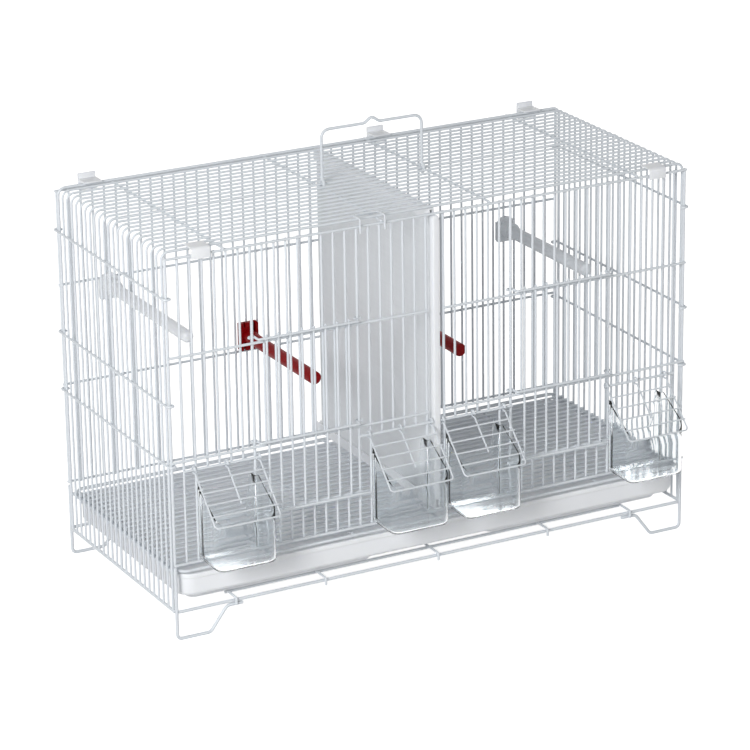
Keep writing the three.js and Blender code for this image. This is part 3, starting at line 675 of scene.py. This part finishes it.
class CAGE_OT_floor_grille(bpy.types.Operator):
    """The slide-out floor: a closed frame wire, bars across it and five wires under them"""

    bl_idname = "cage.floor_grille"
    bl_label = "Floor grille"

    def execute(self, context):
        c = layout(context)
        front, back, x = -2.6, c.depth - 3.6, c.grille_half
        corner, closing, bars = 9, 8, 23  # the frame's corners and the sleeve over its joint
        px, py = rounded_rectangle(2 * x, back - front, corner)
        loop = xyz(px, py + (front + back) / 2, c.grille_frame)
        sleeve = [[way * closing, back, c.grille_frame] for way in (-1, 1)]
        parts = [swept(loop, Z_AXIS, c.frame, closed=True), rods(*sleeve, c.frame + 0.3)]
        end, y = x + SINK, np.linspace(front + corner, back - corner, bars)
        parts.append(rods(xyz(-end, y, c.grille_bar), xyz(end, y, c.grille_bar), c.bar))
        at = np.array([-0.66, -0.33, 0, 0.33, 0.66]) * x
        low = c.grille_bar - 2 * c.bar + 0.1
        parts.append(rods(xyz(at, front, low), xyz(at, back, low), c.bar))
        make_piece(context, "floor_grille_wires", parts, ["floor_grille"], "floor_grille")
        return {"FINISHED"}


class CAGE_OT_tray(bpy.types.Operator):
    """The slide-out tub with a turned rim, rounded foot and two wells"""

    bl_idname = "cage.tray"
    bl_label = "Tray"

    def execute(self, context):
        c = layout(context)
        width, front = 2 * (c.half - 3.0), -3.0
        depth = c.depth - 3.8 - front - 1
        middle = front + depth / 2
        wall, margin, straight = 2.2, 16, 30
        foot_in, foot_out, foot_wide, foot_high = 15.7, 13.5, 7.0, 5.5
        (out, down), top = quarter(9), c.tray_top
        # Inset and level down the outline: inside foot and wall, turned rim, outside wall and foot.
        profile = np.concatenate([
            np.column_stack([3.6 + foot_wide * down, foot_in + foot_high * out]),
            [[3.6, straight], [3.6, top - 1.6], [3.1, top - 0.5], [2.4, top]],
            [[1.0, top], [0.35, top - 0.3], [0.0, top - 1.1]],
            [[0.0, top - 4.4], [0.4, top - 4.9], [1.4, top - 4.9]],
            [[1.4, straight]],
            np.column_stack([1.4 + foot_wide * out, foot_out + foot_high * down]),
        ])
        inset, level = profile.T
        corner = np.maximum(20 - inset, 8)
        px, py = rounded_rectangle(width - 2 * inset, depth - 2 * inset, corner, 12)
        rings = xyz(px, py + middle, level[:, None])
        parts = [skin(rings[:, ::-1], caps=False)]
        well_width = width * 0.36
        well_x = (width - well_width) / 2 - margin
        inner_rims, outer_rims = [], []
        for side, _ in HALVES:
            for inner in (True, False):
                low = c.tray_bottom + wall if inner else c.tray_bottom
                drop = (foot_in if inner else foot_out) - low
                grow = (wall if inner else 0) + 2.2 * out
                long, wide = depth - 2 * (margin + grow), well_width - 2 * grow
                wx, wy = rounded_rectangle(wide, long, 10, 8)
                well = xyz(wx + side * well_x, wy + middle, (low + drop * down)[:, None])
                if inner:
                    points, faces = skin(well[::-1], caps=False)
                    faces.append(end_cap(well[::-1], False, Z_AXIS))
                    inner_rims.append(well[0])
                else:
                    points, faces = skin(well[:, ::-1], caps=False)
                    faces.append(end_cap(well, True, -Z_AXIS, mirrored=True))
                    outer_rims.append(well[0])
                parts.append((points, faces))
        for edge, holes, up in ((rings[0], inner_rims, Z_AXIS), (rings[-1], outer_rims, -Z_AXIS)):
            points, triangles = plate(edge, up, holes)
            parts.append((points, [triangles]))
        make_piece(context, "tray_tub", parts, ["tray"], "tray", "white_plastic")
        return {"FINISHED"}


# ---- Divider and doors ----


def arched(width, low, high):
    """Anticlockwise outline of a plate whose top is a half circle of its width."""
    turn = np.linspace(0, math.pi, 12)
    arch = np.column_stack([np.cos(turn), np.sin(turn)]) * width / 2 + [0, high - width / 2]
    return np.concatenate([[[-width / 2, low], [width / 2, low]], arch])


class CAGE_OT_divider(bpy.types.Operator):
    """The sliding sheet between the halves and the round-topped grip on its front edge"""

    bl_idname = "cage.divider"
    bl_label = "Divider"

    def execute(self, context):
        c = layout(context)
        low, top = 55.1, c.top - c.rail - 0.6
        front, back, half_thick, corner = 3, c.depth - 6, 1, 3
        px, pz = rounded_rectangle(back - front, top - low, corner, 5)
        outline = np.column_stack([px + (back + front) / 2, pz + (top + low) / 2])
        sheet = prism(outline, -half_thick, half_thick, "x", 0.3)
        make_piece(context, "divider_sheet", [sheet], ["divider"], "divider", "blue_panel")
        grip = prism(arched(7.5, 64, top), -4.6, 4, "y", 1.2)
        make_piece(context, "divider_grip", [grip], ["divider"], "divider", "white_plastic")
        return {"FINISHED"}


class CAGE_OT_guides(bpy.types.Operator):
    """The two channels that the divider slides in"""

    bl_idname = "cage.guides"
    bl_label = "Divider guides"

    def execute(self, context):
        c = layout(context)
        out, inn, web, over = 3.0, 1.6, 1.4, 4.2
        z0, z1 = 53.4, 63.6
        open_above = [[-out, z0], [out, z0], [out, z1], [inn, z1], [inn, z0 + web],
                      [-inn, z0 + web], [-inn, z1], [-out, z1]]
        z0, z1 = c.height - 14.15, c.height - 2.15
        open_below = [[-out, z0], [-inn, z0], [-inn, z1 - web], [inn, z1 - web],
                      [inn, z0], [out, z0], [out, z1], [-out, z1]]
        for name, section, y0, y1 in (
            ("divider_floor_guide", open_above, -over, c.depth + over),
            ("divider_roof_guide", open_below, 5, c.depth - 3),
        ):
            channel = prism(section, y0, y1, "y", 0.25)
            make_piece(context, name + "_channel", [channel], [name], slot="white_plastic")
        return {"FINISHED"}


class CAGE_OT_doors(bpy.types.Operator):
    """Two lifting doors of upright bars, hooked round the guide bars of the front panel"""

    bl_idname = "cage.doors"
    bl_label = "Doors"

    def execute(self, context):
        c = layout(context)
        bar_y = RAIL_FACE - FIT - c.bar
        rail_y = bar_y - 2.6
        levels = np.array([c.low, c.high]) + 5.1  # the hooks lie just over the panel's rails
        wire = 1.3
        around = c.stout + 1.1 + FIT
        tip_y, past = -0.7, c.flap_half + 1.5
        for side, name in HALVES:
            outer, inner = (bar_x(c, side, bar) for bar in DOOR_BARS)
            path = [[outer + side * around, tip_y], [outer + side * around, around],
                    [outer - side * around, around], [outer - side * around, rail_y],
                    [inner + side * around, rail_y], [inner + side * around, around],
                    [inner - side * around, around], [inner - side * around, tip_y]]
            flat = fillet(path, [2.4, 2.4, 2.0, 2.0, 2.4, 2.4])
            parts = [swept(xyz(flat[:, 0], flat[:, 1], z), Z_AXIS, wire) for z in levels]
            x = bar_x(c, side, np.arange(DOOR_BARS[0] + 1, DOOR_BARS[1]))
            parts.append(rods(xyz(x, bar_y, c.sill - SINK), xyz(x, bar_y, levels[1] + 3), c.bar))
            ends = [bar_x(c, side, first + FEEDER_BARS / 2) + way * side * past
                    for (first, _), way in zip(FEEDERS, (-1, 1))]
            parts.append(rods([ends[0], rail_y, c.sill], [ends[1], rail_y, c.sill], c.rail))
            make_piece(context, "door_" + name + "_wires", parts, ["door_" + name], "door_" + name)
        return {"FINISHED"}


# ---- Feeders and flaps ----


class CAGE_OT_feeders(bpy.types.Operator):
    """Four clear cups that hang in their openings, with a sloping rim and an open neck"""

    bl_idname = "cage.feeders"
    bl_label = "Feeder cups"

    def execute(self, context):
        c = layout(context)
        half, neck = c.flap_half - 2.1, FEEDER_BARS / 2 * c.pitch - 2.45
        floor, top, out, inside_y, neck_y = 53.4, 132.0, 49.0, 8.0, RAIL_FACE - FIT
        neck_rim_y, neck_slope, lowest_rim = 4.5, 14, 77.4
        wall, foot, tall = 1.5, 5, 78
        # Round corners in front and at the neck's back are wider than the deepest inset, and the
        # shoulders between them are sharp, so that no ring crosses itself.
        start_y = neck_y + 0.6
        outline = np.concatenate([
            fillet([[0, -out], [half, -out], [half, neck_y]], [11], 8),
            fillet([[neck, start_y], [neck, inside_y],
                    [-neck, inside_y], [-neck, start_y]], 6.8, 8),
            fillet([[-half, neck_y], [-half, -out], [0, -out]], [11], 8)[:-1],
        ])
        foot_out, foot_down = (foot * share for share in quarter(6))
        # Inset and share of the height: inside floor and foot, rim, outside foot and floor.
        profile = np.concatenate([
            np.column_stack([wall + foot_down, (wall + foot_out) / tall]),
            [[wall, 0.4], [wall, 0.8], [wall, 0.992], [wall * 0.72, 1]],
            [[wall * 0.28, 1], [0, 0.992], [0, 0.8], [0, 0.4]],
            np.column_stack([foot_out, foot_down / tall]),
        ])
        flat = np.stack([offset(outline, d) for d in profile[:, 0]])
        y = flat[..., 1]
        under_flap = c.hinge + (y - PIN_Y) - 2.12
        rim = np.where(y > neck_rim_y, top - (y - neck_rim_y) * neck_slope, top)
        rim = np.maximum(np.minimum(rim, under_flap), lowest_rim)
        z = floor + profile[:, 1:] * (rim - floor)
        for place, x in feeder_places(c):
            name = "feeder_" + place
            rings = xyz(flat[..., 0] + x, y, z)
            points, faces = skin(rings[:, ::-1], caps=False)
            faces += [end_cap(rings, False, Z_AXIS, True), end_cap(rings, True, -Z_AXIS, True)]
            make_piece(context, name + "_cup", [(points, faces)], [name], name, "clear_plastic")
        return {"FINISHED"}


class CAGE_OT_flaps(bpy.types.Operator):
    """Four wire flaps that hang on the hinge bars by eyes and slope down over the cups"""

    bl_idname = "cage.flaps"
    bl_label = "Feeder flaps"

    def execute(self, context):
        c = layout(context)
        run, straight, ring, slope = 47.0, 30, 3.58, -135
        cross_radius, lift = 0.85, 1.45
        normal = np.array([0, -math.sqrt(0.5), math.sqrt(0.5)])
        reach = np.array([0.22, 0.42, 0.62, 0.82]) * run
        y, z = PIN_Y - reach - lift, c.hinge - reach + lift
        for place, middle in feeder_places(c):
            name = "flap_" + place
            left, right = middle - c.flap_half, middle + c.flap_half
            parts = []
            for x, tail in ((left, straight), (right, straight), (middle, reach[2] + 3)):
                eye = eye_path(x, PIN_Y, c.hinge, ring, slope, tail * math.sqrt(2))
                parts.append(swept(eye, X_AXIS, c.hook))
            down = [[x, PIN_Y - r, c.hinge - r]
                    for x, r in ((left, straight), (left, run), (right, run), (right, straight))]
            parts.append(swept(fillet(down, 3.5), normal, c.hook, blunt=True))
            parts.append(rods(xyz(left - SINK, y, z), xyz(right + SINK, y, z), cross_radius))
            make_piece(context, name + "_wires", parts, [name], name)
        return {"FINISHED"}


# ---- Perches, clips and handle ----

# Anticlockwise outline of a red perch's clamp in millimetres, with the slots that grip the wires.
FORK = (
    (-9, -15.5), (-6.6, -15.5), (-6.6, -6), (-4.2, -6), (-4.2, -15.5), (9, -15.5), (11, -13.5),
    (11, 13.5), (9, 15.5), (8, 15.5), (8, 1.5), (4.8, 1.5), (4.8, 15.5), (-4, 15.5), (-4, 10.5),
    (-6.4, 10.5), (-6.4, 15.5), (-9, 15.5), (-11, 13.5), (-11, -13.5),
)


class CAGE_OT_perches(bpy.types.Operator):
    """Two high perches with a domed end and an arched clamp, and two low ones with a square end
    and a forked clamp"""

    bl_idname = "cage.perches"
    bl_label = "Perches"

    def execute(self, context):
        c = layout(context)
        face = c.depth + FIT  # the clamp's back
        inward, down = quarter(7)
        cos, sin = circle(28)
        groove, cheek = 1.8, 10.6  # a clamp's blocks, out from the wire between them
        for name, bar, level, reach, radius, slot, domed in (
            ("perch_white_left", 4, 264, 192, 6.5, "white_plastic", True),
            ("perch_red_left", 16, 180, 155, 7.0, "red_plastic", False),
            ("perch_red_right", 29, 180, 155, 7.0, "red_plastic", False),
            ("perch_grey_right", 40, 249, 172, 7.0, "grey_plastic", True),
        ):
            x = back_bar_x(c, bar)
            tip_round, collar = (5.0, 2.5) if domed else (1.2, 0.6)
            # Radius and distance from the root: collar, shank and tip.
            body = [[0.01, 0.2], [radius + collar, 0.2], [radius + collar, 12.6],
                    [radius + collar * 0.84, 13.7], [radius + collar * 0.16, 14.4],
                    [radius, 15.5], [radius, 60], [radius, reach - tip_round]]
            tip = np.column_stack([radius - tip_round * inward, reach - tip_round * down])[1:]
            profile = np.concatenate([body, tip, [[0.01, reach]]])
            width, out = profile[:, :1], profile[:, 1:]
            parts = [skin(xyz(width * cos + x, face - 7 - out, width * sin + level))]
            if domed:
                shape, low, high = arched(22, level - 14, level + 14), level - 13.2, level + 8
            else:
                shape, low, high = np.array(FORK) + [0, level], level - 15, level + 15
            parts.append(prism(shape + [x, 0], face - 8, face - 2.2, "y", 0.5))
            for way in (-1, 1):
                block = oblong(np.sort([x + way * groove, x + way * cheek]), (low, high))
                parts.append(prism(block, face - 3.2, face, "y", 0.6))
            make_piece(context, name + "_moulding", parts, [name], name, slot)
        return {"FINISHED"}


class CAGE_OT_clips(bpy.types.Operator):
    """Five folded clips that hold the roof wires to the panels, and the bent wire staple"""

    bl_idname = "cage.clips"
    bl_label = "Roof clips and staple"

    def execute(self, context):
        c = layout(context)
        self.fold_clips(context, c)
        self.bend_staple(context, c)
        return {"FINISHED"}

    def fold_clips(self, context, c):
        half_width, outer, thick, tab_top = 10, 4.6, 1.6, c.height + 9
        over, under = c.height + c.stout + FIT, c.top - c.rail - FIT
        reach, skirt = c.wrap_y[0] + 6, -outer - thick
        hook = [[-c.bar - FIT, under - thick], [-c.bar - FIT, under], [-outer, under]]
        tabbed = np.array(hook + [
            [-outer, over], [reach, over], [reach, over + thick], [-outer, over + thick],
            [-outer, tab_top], [skirt, tab_top], [skirt, under - thick]])
        # The front clips have no tab: the strip rolls over the edge, in two arcs of one centre.
        inner_roll = fillet([[-outer, under], [-outer, over], [reach, over]], 1.9)[1:]
        outer_roll = fillet([[reach, over + thick], [skirt, over + thick],
                             [skirt, under - thick]], 1.9 + thick)
        front = np.concatenate([hook, inner_roll, outer_roll])
        back = (tabbed * [-1, 1] + [c.depth, 0])[::-1]
        at = c.half - 36.5
        for name, x, section in (("front_left", -at, front), ("front_right", at, front),
                                 ("back_left", -at, back), ("back_right", at, back),
                                 ("back_middle", 76, back)):
            strip = prism(section, x - half_width, x + half_width, "x", 0.3)
            name = "roof_clip_" + name
            make_piece(context, name + "_strip", [strip], [name], slot="white_plastic")

    def bend_staple(self, context, c):
        x0, x1 = -87.0, -59.0
        front, high, low = -5.7, c.height + 3.35, c.top - 6
        back = c.wrap_y[0] + 4
        start = back - 4
        parts = []
        for x in (x0, x1):
            leg = fillet([[x, front, low], [x, front, high], [x, start, high]], 2.0)
            parts.append(swept(leg, X_AXIS, c.hook, blunt=True))
        cross = fillet([[x0, start, high], [x0, back, high],
                        [x1, back, high], [x1, start, high]], 2.5)
        parts.append(swept(cross, Z_AXIS, c.hook, blunt=True))
        make_piece(context, "roof_staple_wire", parts, ["roof_staple"])


class CAGE_OT_handle(bpy.types.Operator):
    """The carrying handle: a bail with a peak in its grip, turning on a roof wire by two eyes"""

    bl_idname = "cage.handle"
    bl_label = "Handle"

    def execute(self, context):
        c = layout(context)
        pin_y = c.wrap_y[WRAPS // 2]
        radius, eye, tail = 1.65, 4.5, 30
        span, top, low = 62 - c.rail - FIT - radius, c.height + 57.5, c.height + tail
        peak_half, peak = 9, 6
        parts = [swept(eye_path(x, pin_y, c.height, eye, 90, tail), X_AXIS, radius, blunt=True)
                 for x in (-span, span)]
        grip = [[-span, low], [-span, top], [-peak_half, top], [0, top + peak],
                [peak_half, top], [span, top], [span, low]]
        flat = fillet(grip, [9, 6, 4, 6, 9])
        parts.append(swept(xyz(flat[:, 0], pin_y, flat[:, 1]), Y_AXIS, radius, 14, blunt=True))
        make_piece(context, "handle_wire", parts, ["handle"], "handle")
        return {"FINISHED"}


# ---- Stage ----


class CAGE_OT_stage(bpy.types.Operator):
    """White floor, soft studio lamps and the camera at the photograph's viewing angle"""

    bl_idname = "cage.stage"
    bl_label = "Studio stage"

    def execute(self, context):
        scene = context.scene
        aim = np.array([0, 0, 0.2])
        self.lay_floor(scene)
        self.light_world(scene)
        for name, place, size, watts, in_gloss in (
            ("key_softbox", (-2.3, -1.8, 1.45), 0.9, 62, True),
            ("side_softbox", (1.4, -2.6, 1.0), 1.2, 8, True),
            ("back_softbox", (1.5, 2.9, 0.9), 1.2, 34, False),
        ):
            lamp = bpy.data.lights.new(name, "AREA")
            lamp.size = size
            lamp.energy = watts
            holder = bpy.data.objects.new(name, lamp)
            holder.visible_glossy = in_gloss
            scene.collection.objects.link(holder)
            holder.matrix_world = looking(np.array(place) - aim, place)
        self.set_camera(scene)
        scene.view_settings.view_transform = "Standard"
        return {"FINISHED"}

    def lay_floor(self, scene):
        floor = bpy.data.meshes.new("studio_floor")
        left, right, front, back = -9, 9, -7, 14
        corners = [(left, front, 0), (right, front, 0), (right, back, 0), (left, back, 0)]
        floor.from_pydata(corners, [], [(0, 1, 2, 3)])
        card = bpy.data.objects.new("studio_floor", floor)
        scene.collection.objects.link(card)
        # Overexposed white paper: its glow is seen, but throws no light on the cage.
        glow_strength = 0.8
        paper = bpy.data.materials.new("white_studio_paper")
        paper.use_nodes = True
        tree = paper.node_tree
        tree.nodes.remove(tree.nodes["Principled BSDF"])
        matt = add_node(tree, "ShaderNodeBsdfDiffuse", {"Color": (0.8, 0.8, 0.8, 1)})
        inputs = {0: seen_ray(tree), 1: glow_strength}
        power = add_node(tree, "ShaderNodeMath", inputs, operation="MULTIPLY")
        inputs = {"Color": (1, 1, 1, 1), "Strength": power.outputs[0]}
        glow = add_node(tree, "ShaderNodeEmission", inputs)
        both = add_node(tree, "ShaderNodeAddShader", {0: matt.outputs[0], 1: glow.outputs[0]})
        tree.links.new(both.outputs[0], tree.nodes["Material Output"].inputs["Surface"])
        floor.materials.append(paper)

    def light_world(self, scene):
        lit, shown = 0.3, 1.0  # strength of the white round about as light and as what is seen
        world = bpy.data.worlds.new("studio_light")
        world.use_nodes = True
        scene.world = world
        tree = world.node_tree
        inputs = {"Value": seen_ray(tree), "To Min": lit, "To Max": shown}
        strength = add_node(tree, "ShaderNodeMapRange", inputs)
        background = tree.nodes["Background"]
        background.inputs["Color"].default_value = (1, 1, 1, 1)
        tree.links.new(strength.outputs["Result"], background.inputs["Strength"])

    def set_camera(self, scene):
        focal_pixels, picture_pixels = 3639.85, 750
        place = (-1.69345, -3.17298, 1.49207)
        around, above, roll = (math.radians(a) for a in (-27.92, 19.81, -0.84))
        camera = bpy.data.cameras.new("photo_camera")
        camera.sensor_width = 36
        camera.lens = focal_pixels / picture_pixels * camera.sensor_width
        camera.clip_start, camera.clip_end = 0.1, 60
        eye = bpy.data.objects.new("photo_camera", camera)
        scene.collection.objects.link(eye)
        back = (math.sin(around) * math.cos(above), -math.cos(around) * math.cos(above),
                math.sin(above))
        eye.matrix_world = looking(back, place, roll)
        scene.camera = eye


def seen_ray(tree):
    """1 for what is seen by the camera itself, in a gloss or through clear plastic, and 0 for what
    only lights something."""
    rays = add_node(tree, "ShaderNodeLightPath").outputs
    seen = rays["Is Camera Ray"]
    for kind in ("Is Glossy Ray", "Is Transmission Ray"):
        either = add_node(tree, "ShaderNodeMath", {0: seen, 1: rays[kind]}, operation="MAXIMUM")
        seen = either.outputs[0]
    return seen


def looking(back, place, roll=0):
    """The matrix of a lamp or camera at a place that looks away from the direction back: its
    columns are its right, up and back, turned by the roll, and its place."""
    back = unit(np.array(back))
    right = unit(np.cross(Z_AXIS, back))
    up = np.cross(back, right)
    turned = math.cos(roll) * right + math.sin(roll) * up
    raised = -math.sin(roll) * right + math.cos(roll) * up
    matrix = np.eye(4)
    matrix[:3, :4] = np.column_stack([turned, raised, back, place])
    return Matrix(matrix.tolist())


# ---- Add-on ----

OPERATORS = (
    CAGE_OT_front_panel, CAGE_OT_back_panel, CAGE_OT_walls, CAGE_OT_roof, CAGE_OT_base,
    CAGE_OT_tray_rack, CAGE_OT_floor_grille, CAGE_OT_tray, CAGE_OT_divider, CAGE_OT_guides,
    CAGE_OT_doors, CAGE_OT_feeders, CAGE_OT_flaps, CAGE_OT_perches, CAGE_OT_clips, CAGE_OT_handle,
    CAGE_OT_stage,
)


class CAGE_PT_sidebar(bpy.types.Panel):
    """Sizes, colours and one button for each group of pieces"""

    bl_idname = "CAGE_PT_sidebar"
    bl_label = "Canary breeding cage"
    bl_space_type = "VIEW_3D"
    bl_region_type = "UI"
    bl_category = "Cage"

    def draw(self, context):
        column = self.layout.column()
        for group in (context.scene.cage_sizes, context.scene.cage_colours):
            for name in group.__annotations__:
                column.prop(group, name)
        for operator in OPERATORS:
            column.operator(operator.bl_idname)


CLASSES = (CageSizes, CageColours, *OPERATORS, CAGE_PT_sidebar)


def register():
    for item in CLASSES:
        bpy.utils.register_class(item)
    bpy.types.Scene.cage_sizes = bpy.props.PointerProperty(type=CageSizes)
    bpy.types.Scene.cage_colours = bpy.props.PointerProperty(type=CageColours)


def unregister():
    del bpy.types.Scene.cage_colours
    del bpy.types.Scene.cage_sizes
    for item in reversed(CLASSES):
        bpy.utils.unregister_class(item)


def main():
    register()
    for operator in OPERATORS:
        group, name = operator.bl_idname.split(".")
        getattr(getattr(bpy.ops, group), name)()


if __name__ == "__main__":
    main()
